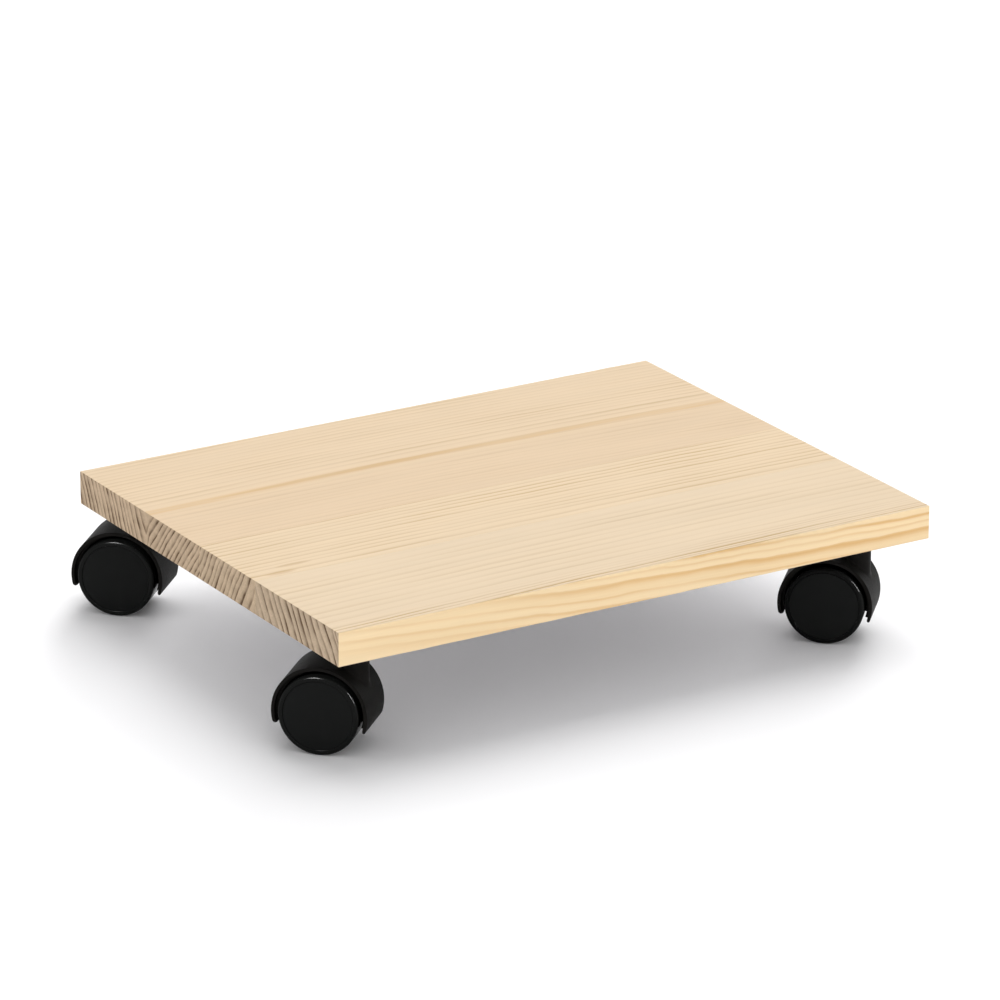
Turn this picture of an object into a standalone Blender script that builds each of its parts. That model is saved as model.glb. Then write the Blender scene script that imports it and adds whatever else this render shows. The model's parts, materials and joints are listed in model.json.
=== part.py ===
"""Plant pot caddy: a deck of glued pine staves on four twin-wheel swivel casters.

Metres, +Z up. The origin is the centre of the deck's top face, +X runs along the deck's long
side and +Y to its rear. Each caster has an empty on the deck's underside at its swivel axis,
a second one there that turns with the hood, and a third on the axle that the wheels turn about.
In a hood's own frame the axle lies along X and the wheels trail behind the swivel axis at +Y.
"""

import math

import bmesh
import bpy
from mathutils import Matrix

# Deck
DECK_LENGTH = 0.350
DECK_WIDTH = 0.270
DECK_THICKNESS = 0.018
DECK_CHAMFER = 0.0004
GLUE_LINE = 0.0002
FIRST_JOINT = 0.130  # from the rear edge to the rear stave's glue line
SECOND_JOINT = 0.187  # from the rear edge to the front stave's glue line

# Swivel axes (x, y) on the deck, and how far each hood is turned about its axis
CASTERS = {
    "front_left": ((-0.1499, -0.1074), math.radians(43.2)),
    "front_right": ((0.1480, -0.1097), math.radians(46.9)),
    "rear_left": ((-0.1462, 0.1120), math.radians(45.0)),
    "rear_right": ((0.1478, 0.1110), math.radians(44.5)),
}

# Caster
CASTER_HEIGHT = 0.056
WHEEL_RADIUS = 0.02075
TRAIL = 0.0142
AXLE_Z = WHEEL_RADIUS - CASTER_HEIGHT

# Clearances
SEAT_GAP = 0.00015  # between pieces that are fixed to each other
RUN_GAP = 0.0001  # around a shaft that turns in its bore
END_GAP = 0.0003  # along a shaft, between pieces that turn on each other

# Mounting plate and its screws
PLATE_SIDE = 0.038
PLATE_THICKNESS = 0.002
PLATE_CORNER = 0.004
PLATE_TOP = -SEAT_GAP
PLATE_BOTTOM = PLATE_TOP - PLATE_THICKNESS
SCREW_SPACING = 0.027
SCREW_RADIUS = 0.0015
SCREW_HEAD_RADIUS = 0.0032
SCREW_CONE = 0.0017
SCREW_SHANK_TOP = 0.0110
SCREW_TIP = 0.0130
PILOT_DEPTH = 0.0135

# Swivel stem, its sleeve and its snap ring
RIVET_RADIUS = 0.0030
COLLAR_RADIUS = 0.0060
COLLAR_TOP = PLATE_BOTTOM - SEAT_GAP
COLLAR_BOTTOM = COLLAR_TOP - 0.0010
STEM_RADIUS = 0.0040
STEM_BOTTOM = -0.0153
SLEEVE_WALL = 0.0011
SLEEVE_FLANGE = 0.0066
SLEEVE_TOP = COLLAR_BOTTOM - SEAT_GAP
FLANGE_THICKNESS = 0.0008
SLEEVE_BOTTOM = -0.0135
RING_THICKNESS = 0.0006
RING_TOP = SLEEVE_BOTTOM - END_GAP
RING_INNER = 0.0034
RING_OUTER = 0.0049
RING_OPENING = math.radians(36)
GROOVE_RADIUS = 0.0033

# Hood
HOOD_RADIUS = 0.02475
HOOD_WIDTH = 0.0304
SHELL_INSIDE = 0.02315  # inner radius of the bare wall near the leading lip
LINING_INSIDE = 0.02165  # inner radius of the thicker wall, which starts at the trailing lip
TRAILING_END = math.radians(-12.5)
LINING_END = math.radians(196)
LEADING_END = math.radians(197)
POCKET_DEPTH = 0.0035  # of the step in the thicker wall's side faces
POCKET_OUTSIDE = 0.02305
POCKET_INSIDE = 0.0209
POCKET_START = math.radians(-11.7)
POCKET_END = math.radians(200)
BOSS_RADIUS = 0.0072
BOSS_TOP = SLEEVE_TOP - FLANGE_THICKNESS - SEAT_GAP
SLEEVE_BORE = STEM_RADIUS + RUN_GAP + SLEEVE_WALL + SEAT_GAP
BOSS_BOTTOM = AXLE_Z + HOOD_RADIUS / 2  # inside the web; the wheel wells trim the rest
BORE_BOTTOM = STEM_BOTTOM - END_GAP
WEB_THICKNESS = 0.0060
WEB_TRAILING_END = math.radians(-6)
WEB_LEADING_END = math.radians(196)
HUB_RADIUS = 0.0060
HUB_LOW_START = math.radians(225)
HUB_LOW_END = math.radians(315)
WELL_RADIUS = 0.0215

# Axle, wheels and covers, by their distance from the caster's middle
AXLE_RADIUS = 0.0025
AXLE_END = 0.0157
AXLE_CHAMFER = 0.0003
WHEEL_INNER = 0.0039
HUB_INNER = WEB_THICKNESS / 2 + END_GAP
DISC_INNER = 0.0145
DISC_OUTER = 0.0160
WHEEL_OUTER = 0.0172
TREAD_THICKNESS = 0.0022
TREAD_ROUND = 0.0013
TREAD_CHAMFER = 0.0005
RECESS_RADIUS = 0.0181
COVER_RADIUS = RECESS_RADIUS - SEAT_GAP
COVER_INNER = DISC_OUTER + SEAT_GAP
COVER_OUTER = 0.0170

# Linear colours
PINE = (0.80, 0.63, 0.43)
BLACK_NYLON = (0.013, 0.013, 0.014)
ZINC = (0.55, 0.55, 0.53)
SPRING_STEEL = (0.30, 0.30, 0.30)
ACETAL = (0.60, 0.60, 0.57)

# Facets
WHEEL_FACETS = 24
SHAFT_FACETS = 20
SCREW_FACETS = 12
HOOD_FACETS = 24
CORNER_FACETS = 4
ROUND_FACETS = 2
SHARP_ANGLE = math.radians(35)
MERGE = 1e-6


# ---------------------------------------------------------------------------
# Building blocks
# ---------------------------------------------------------------------------


def clear_scene():
    for item in list(bpy.data.objects):
        bpy.data.objects.remove(item, do_unlink=True)


def material(name, colour, roughness, metallic):
    """A plain Principled material; colour is linear RGB."""
    made = bpy.data.materials.new(name)
    made.use_nodes = True
    shader = made.node_tree.nodes["Principled BSDF"]
    shader.inputs["Base Color"].default_value = (*colour, 1.0)
    shader.inputs["Roughness"].default_value = roughness
    shader.inputs["Metallic"].default_value = metallic
    made.diffuse_color = (*colour, 1.0)
    return made


def arc(centre, radius, start, end, steps):
    """Points along an arc about centre, from the angle start to the angle end."""
    angles = [start + (end - start) * step / steps for step in range(steps + 1)]
    return [(centre[0] + radius * math.cos(a), centre[1] + radius * math.sin(a)) for a in angles]


def finished_mesh(name, bm):
    """The mesh of bm, facing out, smooth with sharp edges kept."""
    bmesh.ops.recalc_face_normals(bm, faces=bm.faces)
    mesh = bpy.data.meshes.new(name)
    bm.to_mesh(mesh)
    bm.free()
    mesh.shade_smooth()
    mesh.set_sharp_from_angle(angle=SHARP_ANGLE)
    return mesh


def turned(name, outline, facets, centre=(0.0, 0.0)):
    """A solid turned about the Z line through centre, from (radius, z) points.

    An outline that starts and ends on the axis is closed by it.
    """
    bm = bmesh.new()
    verts = [bm.verts.new((radius, 0.0, z)) for radius, z in outline]
    ends_on_axis = outline[0][0] == 0.0 and outline[-1][0] == 0.0
    followers = verts[1:] if ends_on_axis else verts[1:] + verts[:1]
    edges = [bm.edges.new(pair) for pair in zip(verts, followers)]
    bmesh.ops.spin(
        bm, geom=verts + edges, cent=(0, 0, 0), axis=(0, 0, 1), angle=2 * math.pi, steps=facets
    )
    bmesh.ops.remove_doubles(bm, verts=bm.verts, dist=MERGE)
    bmesh.ops.translate(bm, verts=bm.verts, vec=(*centre, 0.0))
    return finished_mesh(name, bm)


def prism(name, outline, low, high):
    """A solid with a flat outline of (x, y) points, from z = low to z = high."""
    bm = bmesh.new()
    base = bm.faces.new([bm.verts.new((x, y, low)) for x, y in outline])
    extruded = bmesh.ops.extrude_face_region(bm, geom=[base])["geom"]
    lifted = [item for item in extruded if isinstance(item, bmesh.types.BMVert)]
    bmesh.ops.translate(bm, verts=lifted, vec=(0, 0, high - low))
    return finished_mesh(name, bm)


def across(mesh):
    """Turns a mesh drawn in (y, z) and thick along z so that its thickness lies along x."""
    for vertex in mesh.vertices:
        y, z, x = vertex.co
        vertex.co = (x, y, z)
    return mesh


def placed_in_scene(name, mesh):
    item = bpy.data.objects.new(name, mesh)
    bpy.context.scene.collection.objects.link(item)
    return item


def combined(name, base, steps):
    """The mesh base after each (operation, mesh) of steps, by Boolean modifiers."""
    body = placed_in_scene(name, base)
    helpers = []
    for operation, mesh in steps:
        helper = placed_in_scene(f"{name}_{operation.lower()}", mesh)
        helper.hide_render = True
        helper.display_type = "WIRE"
        helpers.append(helper)
        boolean = body.modifiers.new(operation, "BOOLEAN")
        boolean.operation = operation
        boolean.object = helper
    graph = bpy.context.evaluated_depsgraph_get()
    mesh = bpy.data.meshes.new_from_object(body.evaluated_get(graph))
    mesh.name = name
    for item in [body, *helpers]:
        bpy.data.objects.remove(item, do_unlink=True)
    mesh.shade_smooth()
    mesh.set_sharp_from_angle(angle=SHARP_ANGLE)
    return mesh


def piece(name, mesh, look, parent=None, location=(0, 0, 0), rotation=(0, 0, 0)):
    """One sub-part in the scene, with its material."""
    item = placed_in_scene(name, mesh)
    if not mesh.materials:
        mesh.materials.append(look)
    item.parent = parent
    item.location = location
    item.rotation_euler = rotation
    return item


def empty(name, parent=None, location=(0, 0, 0), rotation=(0, 0, 0)):
    item = placed_in_scene(name, None)
    item.empty_display_size = PLATE_SIDE
    item.parent = parent
    item.location = location
    item.rotation_euler = rotation
    return item


# ---------------------------------------------------------------------------
# Deck
# ---------------------------------------------------------------------------


def screw_places():
    """The four screws' (x, y) about a caster's swivel axis."""
    half = SCREW_SPACING / 2
    return [(half * x, half * y) for y in (-1, 1) for x in (-1, 1)]


def pilot_hole(centre):
    """The hole that a screw cuts in the deck's underside, in the deck's frame."""
    radius = SCREW_RADIUS + SEAT_GAP
    low = -DECK_THICKNESS - SEAT_GAP
    high = -DECK_THICKNESS + PILOT_DEPTH
    outline = [(0.0, low), (radius, low), (radius, high), (0.0, high)]
    return turned("pilot_hole", outline, SCREW_FACETS, centre)


def stave_block(name, front, rear):
    """A stave from y = front to y = rear, chamfered along the deck's outer edges only."""
    half = DECK_LENGTH / 2
    outline = [(-half, front), (half, front), (half, rear), (-half, rear)]
    glued = [y for y in (front, rear) if abs(y) < DECK_WIDTH / 2]
    bm = bmesh.new()
    bm.from_mesh(prism(name, outline, -DECK_THICKNESS, 0.0))
    outer = [
        edge
        for edge in bm.edges
        if not any(all(abs(v.co.y - y) < MERGE for v in edge.verts) for y in glued)
    ]
    bmesh.ops.bevel(
        bm, geom=outer, offset=DECK_CHAMFER, segments=1, affect="EDGES", clamp_overlap=True
    )
    return finished_mesh(name, bm)


def stave(name, front, rear):
    """A stave with the pilot holes of the casters screwed to it."""
    block = stave_block(name, front, rear)
    holes = [
        (pivot[0] + x, pivot[1] + y)
        for pivot, _ in CASTERS.values()
        for x, y in screw_places()
        if front < pivot[1] + y < rear
    ]
    return combined(name, block, [("DIFFERENCE", pilot_hole(hole)) for hole in holes])


def build_deck():
    rear_edge = DECK_WIDTH / 2
    first = rear_edge - FIRST_JOINT
    second = rear_edge - SECOND_JOINT
    half_line = GLUE_LINE / 2
    spans = {
        "deck_stave_rear": (first + half_line, rear_edge),
        "deck_stave_middle": (second + half_line, first - half_line),
        "deck_stave_front": (-rear_edge, second - half_line),
    }
    for name, (front, rear) in spans.items():
        piece(name, stave(name, front, rear), material(f"{name}_pine", PINE, 0.55, 0.0))


# ---------------------------------------------------------------------------
# Fixed half of a caster: z is measured from the deck's underside
# ---------------------------------------------------------------------------


def plate_mesh():
    """A square plate with rounded corners, a rivet hole and four countersunk screw holes."""
    reach = PLATE_SIDE / 2 - PLATE_CORNER
    outline = []
    for quarter, (x, y) in enumerate([(1, 1), (-1, 1), (-1, -1), (1, -1)]):
        start = quarter * math.pi / 2
        centre = (x * reach, y * reach)
        outline += arc(centre, PLATE_CORNER, start, start + math.pi / 2, CORNER_FACETS)
    blank = prism("mounting_plate", outline, PLATE_BOTTOM, PLATE_TOP)
    above = PLATE_TOP + SEAT_GAP
    below = PLATE_BOTTOM - SEAT_GAP
    rivet = RIVET_RADIUS + SEAT_GAP
    rivet_hole = [(0.0, below), (rivet, below), (rivet, above), (0.0, above)]
    neck = SCREW_RADIUS + SEAT_GAP
    mouth = SCREW_HEAD_RADIUS + SEAT_GAP
    countersink = [
        (0.0, below),
        (mouth, below),
        (mouth, PLATE_BOTTOM),
        (neck, PLATE_BOTTOM + SCREW_CONE),
        (neck, above),
        (0.0, above),
    ]
    cuts = [("DIFFERENCE", turned("rivet_hole", rivet_hole, SHAFT_FACETS))]
    for centre in screw_places():
        cuts.append(("DIFFERENCE", turned("countersink", countersink, SCREW_FACETS, centre)))
    return combined("mounting_plate", blank, cuts)


def screw_mesh():
    """A countersunk wood screw, head flush with the plate, plain where the thread would be."""
    outline = [
        (0.0, PLATE_BOTTOM),
        (SCREW_HEAD_RADIUS, PLATE_BOTTOM),
        (SCREW_RADIUS, PLATE_BOTTOM + SCREW_CONE),
        (SCREW_RADIUS, SCREW_SHANK_TOP),
        (0.0, SCREW_TIP),
    ]
    return turned("wood_screw", outline, SCREW_FACETS)


def stem_mesh():
    """The swivel stem: rivet neck, collar, shank and the snap ring's groove."""
    groove_top = RING_TOP + SEAT_GAP
    groove_bottom = RING_TOP - RING_THICKNESS - SEAT_GAP
    outline = [
        (0.0, PLATE_TOP),
        (RIVET_RADIUS, PLATE_TOP),
        (RIVET_RADIUS, COLLAR_TOP),
        (COLLAR_RADIUS, COLLAR_TOP),
        (COLLAR_RADIUS, COLLAR_BOTTOM),
        (STEM_RADIUS, COLLAR_BOTTOM),
        (STEM_RADIUS, groove_top),
        (GROOVE_RADIUS, groove_top),
        (GROOVE_RADIUS, groove_bottom),
        (STEM_RADIUS, groove_bottom),
        (STEM_RADIUS, STEM_BOTTOM),
        (0.0, STEM_BOTTOM),
    ]
    return turned("swivel_stem", outline, SHAFT_FACETS)


def snap_ring_mesh():
    """An open ring that sits in the stem's groove and carries the hood by its sleeve."""
    half = RING_OPENING / 2
    steps = SHAFT_FACETS - 2
    outline = arc((0, 0), RING_OUTER, half, 2 * math.pi - half, steps)
    outline += arc((0, 0), RING_INNER, 2 * math.pi - half, half, steps)
    return prism("snap_ring", outline, RING_TOP - RING_THICKNESS, RING_TOP)


# ---------------------------------------------------------------------------
# Turning half of a caster
# ---------------------------------------------------------------------------


def sleeve_mesh():
    """The flanged bearing sleeve pressed into the hood's boss."""
    inner = STEM_RADIUS + RUN_GAP
    outer = inner + SLEEVE_WALL
    under_flange = SLEEVE_TOP - FLANGE_THICKNESS
    outline = [
        (inner, SLEEVE_TOP),
        (SLEEVE_FLANGE, SLEEVE_TOP),
        (SLEEVE_FLANGE, under_flange),
        (outer, under_flange),
        (outer, SLEEVE_BOTTOM),
        (inner, SLEEVE_BOTTOM),
    ]
    return turned("swivel_sleeve", outline, SHAFT_FACETS)


def round_end(inside, outside, at, start):
    """The half circle that rounds off a band about the axle at the angle at."""
    middle = (inside + outside) / 2
    centre = (TRAIL + middle * math.cos(at), AXLE_Z + middle * math.sin(at))
    half = (outside - inside) / 2
    return arc(centre, half, start, start + math.pi, 2 * ROUND_FACETS)[1:-1]


def wall_outline():
    """The hood's half-round wall in (y, z), open below, with both lips rounded."""
    centre = (TRAIL, AXLE_Z)
    outline = arc(centre, HOOD_RADIUS, TRAILING_END, LEADING_END, HOOD_FACETS)
    outline += round_end(SHELL_INSIDE, HOOD_RADIUS, LEADING_END, LEADING_END)
    outline += arc(centre, SHELL_INSIDE, LEADING_END, LINING_END, ROUND_FACETS)
    outline += arc(centre, LINING_INSIDE, LINING_END, TRAILING_END, HOOD_FACETS)
    return outline + round_end(LINING_INSIDE, HOOD_RADIUS, TRAILING_END, TRAILING_END + math.pi)


def pocket_outline():
    """The step's outline in (y, z), which leaves a bead around the wall's side face."""
    centre = (TRAIL, AXLE_Z)
    outline = arc(centre, POCKET_OUTSIDE, POCKET_START, POCKET_END, HOOD_FACETS)
    outline += arc(centre, POCKET_INSIDE, POCKET_END, POCKET_START, HOOD_FACETS)
    return outline + round_end(POCKET_INSIDE, POCKET_OUTSIDE, POCKET_START, POCKET_START + math.pi)


def web_outline():
    """The wall between the wheels in (y, z): a half disc with a rounded hub for the axle."""
    centre = (TRAIL, AXLE_Z)
    in_wall = (HOOD_RADIUS + SHELL_INSIDE) / 2
    outline = arc(centre, in_wall, WEB_TRAILING_END, WEB_LEADING_END, HOOD_FACETS)
    return outline + arc(centre, HUB_RADIUS, HUB_LOW_START, HUB_LOW_END, CORNER_FACETS)


def block_across(name, outline, width):
    """A (y, z) outline made solid over a width centred on the caster's middle plane."""
    return across(prism(name, outline, -width / 2, width / 2))


def on_axle(mesh, side=1):
    """Lays a mesh that was turned about Z along the axle, its +Z end towards side * X."""
    turn = Matrix.Rotation(side * math.pi / 2, 4, "Y")
    mesh.transform(Matrix.Translation((0, TRAIL, AXLE_Z)) @ turn)
    return mesh


def wheel_well(side):
    """The room that a wheel turns in, which trims the boss between the wheels and the wall."""
    inner = WEB_THICKNESS / 2
    outer = HOOD_WIDTH
    outline = [(0.0, inner), (WELL_RADIUS, inner), (WELL_RADIUS, outer), (0.0, outer)]
    return on_axle(turned("wheel_well", outline, 2 * WHEEL_FACETS), side)


def pocket(side):
    """The step in one side face of the thicker wall, open to the wheel."""
    depths = (side * (HOOD_WIDTH / 2 - POCKET_DEPTH), side * HOOD_WIDTH)
    return across(prism("pocket", pocket_outline(), min(depths), max(depths)))


def axle_bore():
    radius = AXLE_RADIUS + SEAT_GAP
    reach = WEB_THICKNESS
    outline = [(0.0, -reach), (radius, -reach), (radius, reach), (0.0, reach)]
    return on_axle(turned("axle_bore", outline, SHAFT_FACETS))


def hood_mesh():
    """Half-round wall, web and swivel boss in one moulding, bored for the sleeve and axle."""
    wall = block_across("hood", wall_outline(), HOOD_WIDTH)
    web = block_across("hood_web", web_outline(), WEB_THICKNESS)
    boss = turned(
        "hood_boss",
        [(0.0, BOSS_TOP), (BOSS_RADIUS, BOSS_TOP), (BOSS_RADIUS, BOSS_BOTTOM), (0.0, BOSS_BOTTOM)],
        HOOD_FACETS,
    )
    mouth = BOSS_TOP + END_GAP
    bore = turned(
        "sleeve_bore",
        [(0.0, mouth), (SLEEVE_BORE, mouth), (SLEEVE_BORE, BORE_BOTTOM), (0.0, BORE_BOTTOM)],
        SHAFT_FACETS,
    )
    steps = [
        ("DIFFERENCE", pocket(1)),
        ("DIFFERENCE", pocket(-1)),
        ("UNION", web),
        ("UNION", boss),
        ("DIFFERENCE", wheel_well(1)),
        ("DIFFERENCE", wheel_well(-1)),
        ("DIFFERENCE", bore),
        ("DIFFERENCE", axle_bore()),
    ]
    return combined("hood", wall, steps)


def axle_mesh():
    """The axle pin, turned about its own Z, with chamfered ends."""
    end = AXLE_END - AXLE_CHAMFER
    face = AXLE_RADIUS - AXLE_CHAMFER
    outline = [
        (0.0, -AXLE_END),
        (face, -AXLE_END),
        (AXLE_RADIUS, -end),
        (AXLE_RADIUS, end),
        (face, AXLE_END),
        (0.0, AXLE_END),
    ]
    return turned("axle", outline, SHAFT_FACETS)


def wheel_mesh():
    """A wheel turned about Z: hub, disc and tread, hollow inside, its face recessed."""
    bore = AXLE_RADIUS + RUN_GAP
    tread_inside = WHEEL_RADIUS - TREAD_THICKNESS
    corner = (WHEEL_RADIUS - TREAD_ROUND, WHEEL_OUTER - TREAD_ROUND)
    outline = [
        (bore, HUB_INNER),
        (HUB_RADIUS, HUB_INNER),
        (HUB_RADIUS, DISC_INNER),
        (tread_inside, DISC_INNER),
        (tread_inside, WHEEL_INNER),
        (WHEEL_RADIUS - TREAD_CHAMFER, WHEEL_INNER),
        (WHEEL_RADIUS, WHEEL_INNER + TREAD_CHAMFER),
        *arc(corner, TREAD_ROUND, 0.0, math.pi / 2, ROUND_FACETS),
        (RECESS_RADIUS, WHEEL_OUTER),
        (RECESS_RADIUS, DISC_OUTER),
        (bore, DISC_OUTER),
    ]
    return turned("wheel", outline, WHEEL_FACETS)


def cover_mesh():
    """The disc that closes a wheel's face."""
    outline = [
        (0.0, COVER_INNER),
        (COVER_RADIUS, COVER_INNER),
        (COVER_RADIUS, COVER_OUTER),
        (0.0, COVER_OUTER),
    ]
    return turned("wheel_cover", outline, WHEEL_FACETS)


# ---------------------------------------------------------------------------
# Assembly
# ---------------------------------------------------------------------------


def caster_parts():
    """The mesh and material of each kind of caster piece; the four casters share them."""
    return {
        "mounting_plate": (plate_mesh(), material("plate_zinc", ZINC, 0.35, 1.0)),
        "wood_screw": (screw_mesh(), material("screw_zinc", ZINC, 0.30, 1.0)),
        "swivel_stem": (stem_mesh(), material("stem_steel", ZINC, 0.25, 1.0)),
        "snap_ring": (snap_ring_mesh(), material("ring_spring_steel", SPRING_STEEL, 0.30, 1.0)),
        "swivel_sleeve": (sleeve_mesh(), material("sleeve_acetal", ACETAL, 0.45, 0.0)),
        "hood": (hood_mesh(), material("hood_black_nylon", BLACK_NYLON, 0.50, 0.0)),
        "axle": (axle_mesh(), material("axle_steel", ZINC, 0.25, 1.0)),
        "wheel": (wheel_mesh(), material("wheel_black_nylon", BLACK_NYLON, 0.45, 0.0)),
        "cover": (cover_mesh(), material("cover_black_nylon", BLACK_NYLON, 0.55, 0.0)),
    }


def build_caster(corner, pivot, heading, parts):
    fixed = empty(f"{corner}_mount", None, (*pivot, -DECK_THICKNESS))
    for kind in ("mounting_plate", "swivel_stem", "snap_ring"):
        piece(f"{corner}_{kind}", *parts[kind], fixed)
    for number, (x, y) in enumerate(screw_places(), start=1):
        piece(f"{corner}_screw_{number}", *parts["wood_screw"], fixed, (x, y, 0))
    swivel = empty(f"{corner}_swivel", fixed, rotation=(0, 0, heading))
    piece(f"{corner}_hood", *parts["hood"], swivel)
    piece(f"{corner}_swivel_sleeve", *parts["swivel_sleeve"], swivel)
    axle_line = empty(f"{corner}_axle_line", swivel, (0, TRAIL, AXLE_Z))
    quarter = math.pi / 2
    piece(f"{corner}_axle", *parts["axle"], axle_line, rotation=(0, quarter, 0))
    for letter, side in (("a", -quarter), ("b", quarter)):
        piece(f"{corner}_wheel_{letter}", *parts["wheel"], axle_line, rotation=(0, side, 0))
        piece(f"{corner}_wheel_cover_{letter}", *parts["cover"], axle_line, rotation=(0, side, 0))


def main():
    clear_scene()
    build_deck()
    parts = caster_parts()
    for corner, (pivot, heading) in CASTERS.items():
        build_caster(corner, pivot, heading, parts)


main()
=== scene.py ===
"""Looks of the plant pot caddy: a pine deck on four black twin-wheel casters, in a pale studio."""

import json
import math

import bmesh
import bpy
from mathutils import Matrix, Vector, noise

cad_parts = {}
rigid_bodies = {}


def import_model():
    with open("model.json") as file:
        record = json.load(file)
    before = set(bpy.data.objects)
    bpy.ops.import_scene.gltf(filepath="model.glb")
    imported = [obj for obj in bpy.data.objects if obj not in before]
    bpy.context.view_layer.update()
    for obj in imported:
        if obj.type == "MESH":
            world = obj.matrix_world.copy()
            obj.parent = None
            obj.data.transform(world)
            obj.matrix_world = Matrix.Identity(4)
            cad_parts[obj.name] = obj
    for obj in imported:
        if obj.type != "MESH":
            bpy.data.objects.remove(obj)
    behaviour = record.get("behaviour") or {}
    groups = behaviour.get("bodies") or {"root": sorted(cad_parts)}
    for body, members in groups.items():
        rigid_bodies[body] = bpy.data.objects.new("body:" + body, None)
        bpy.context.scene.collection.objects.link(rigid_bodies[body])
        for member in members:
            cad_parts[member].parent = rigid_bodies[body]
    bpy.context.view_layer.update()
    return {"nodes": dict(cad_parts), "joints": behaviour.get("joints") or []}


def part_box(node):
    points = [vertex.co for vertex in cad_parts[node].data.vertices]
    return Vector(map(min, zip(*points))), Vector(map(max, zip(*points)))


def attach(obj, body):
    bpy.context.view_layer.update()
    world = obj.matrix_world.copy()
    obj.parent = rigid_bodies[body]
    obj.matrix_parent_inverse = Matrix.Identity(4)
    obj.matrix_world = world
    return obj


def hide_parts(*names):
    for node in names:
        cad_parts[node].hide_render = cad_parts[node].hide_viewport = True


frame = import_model()

MM = 0.001
LETTERS = ("a", "b")
CORNERS = ("front_left", "front_right", "rear_left", "rear_right")
SQUARE = ((-1, -1), (1, -1), (1, 1), (-1, 1))
JOINTS = {joint["name"]: joint for joint in frame["joints"]}

# Places read from the frame
DECK_LOW, DECK_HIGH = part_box("deck_stave_rear")
DECK_LOW.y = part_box("deck_stave_front")[0].y
UNDERSIDE = DECK_LOW.z
WHEEL_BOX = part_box("front_left_wheel_a")
WHEEL_RADIUS = (WHEEL_BOX[1].z - WHEEL_BOX[0].z) / 2
FLOOR_Z = WHEEL_BOX[0].z
AXLE_Z = FLOOR_Z + WHEEL_RADIUS - UNDERSIDE
SWIVEL_AT = Vector(JOINTS["front_left_swivel"]["pos_m"])
AXLE_AT = Vector(JOINTS["front_left_wheel_a_spin"]["pos_m"])
TRAIL = (AXLE_AT.xy - SWIVEL_AT.xy).length

# Deck edges, and how deep and how fast along x, y and z they are worn
DECK_EDGE = 0.55 * MM
LEAST_EDGE = 0.01 * MM
GLUE_GAP = 0.05 * MM
STAVE_DIVISIONS = 140
WEAR_DEPTH, WEAR_EVEN = 0.16 * MM, 0.5
WEAR_SCALE = (90, 11, 60)

# Hood, in the caster's own frame: x along the axle, wheels trailing at +y, z from the deck
HOOD_RADIUS = 24.75 * MM
SHELL_INSIDE = 23.15 * MM
LINING_INSIDE = 21.65 * MM
HOOD_HALF_WIDTH = 15.2 * MM
HOOD_EDGE = 0.45 * MM
TRAILING_END = math.radians(-12.5)
LINING_END = math.radians(196)
LEADING_END = math.radians(197)
POCKET_DEPTH = 3.5 * MM
POCKET_OUTSIDE = 23.05 * MM
POCKET_INSIDE = 20.9 * MM
POCKET_START = math.radians(-11.7)
POCKET_END = math.radians(200)
WALL_STEPS = 96
WALL_DIVISIONS = 18
LIP_STEPS = 10
BOSS_RADIUS = 7.2 * MM
BOSS_FILLET = 1.3 * MM
BOSS_EDGE = 0.6 * MM
BOSS_TOP = -4.4 * MM
BOSS_BOTTOM = AXLE_Z + HOOD_RADIUS / 2
BOSS_SKIRT = 0.5 * MM
BOSS_TUCK = 1.1 * MM
BORE_RADIUS = 5.35 * MM
BORE_BOTTOM = -15.6 * MM
WEB_HALF = 3.0 * MM
WEB_EDGE = 0.1 * MM
WEB_TRAILING_END = math.radians(-6)
WEB_LEADING_END = math.radians(196)
WEB_FOOT = (math.radians(225), math.radians(315))
HUB_RADIUS = 6.0 * MM
WELL_RADIUS = 21.5 * MM

# Axle, wheels and covers, by their distance from the caster's middle
AXLE_RADIUS = 2.5 * MM
AXLE_END = 15.7 * MM
AXLE_BEVEL = 0.3 * MM
BORE_GAP = 0.1 * MM
WHEEL_INNER = 3.9 * MM
HUB_INNER = 3.3 * MM
DISC_INNER = 14.5 * MM
DISC_OUTER = 16.0 * MM
WHEEL_OUTER = 17.2 * MM
TREAD_THICKNESS = 2.2 * MM
TREAD_ROUND = 1.35 * MM
WHEEL_EDGE = 0.3 * MM
RECESS_RADIUS = 18.1 * MM
COVER_RADIUS = 18.02 * MM
COVER_INNER = 16.15 * MM
COVER_OUTER = 17.0 * MM
COVER_EDGE = 0.22 * MM

# Plate, screws, stem and sleeve, by their height from the deck's underside
PLATE_SIDE = 38.0 * MM
PLATE_CORNER = 4.0 * MM
PLATE_TOP = -0.15 * MM
PLATE_BOTTOM = -2.15 * MM
PLATE_EDGE = 0.3 * MM
HOLE_GAP = 0.15 * MM
SCREW_RADIUS = 1.5 * MM
SCREW_HEAD = 3.2 * MM
SCREW_CONE = 1.7 * MM
SCREW_END = 11.0 * MM
SCREW_TIP = 13.0 * MM
SCREW_RIM = 0.12 * MM
CROSS_REACH = 1.75 * MM
CROSS_HALF = 0.32 * MM
CROSS_DEPTH = 1.1 * MM
CROSS_TAPER = 0.35
CROSS_THINNEST = 0.4
RIVET_RADIUS = 3.0 * MM
COLLAR_RADIUS = 6.0 * MM
COLLAR_TOP = -2.3 * MM
COLLAR_BOTTOM = -3.3 * MM
STEM_RADIUS = 4.0 * MM
STEM_BOTTOM = -15.3 * MM
STEM_TIP_EDGE = 0.4 * MM
TURNED_EDGE = 0.15 * MM
GROOVE_RADIUS = 3.3 * MM
GROOVE_TOP = -13.65 * MM
GROOVE_BOTTOM = -14.55 * MM
SLEEVE_TOP = -3.45 * MM
SLEEVE_UNDER_FLANGE = -4.25 * MM
SLEEVE_BOTTOM = -13.5 * MM
SLEEVE_FLANGE = 6.6 * MM
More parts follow.
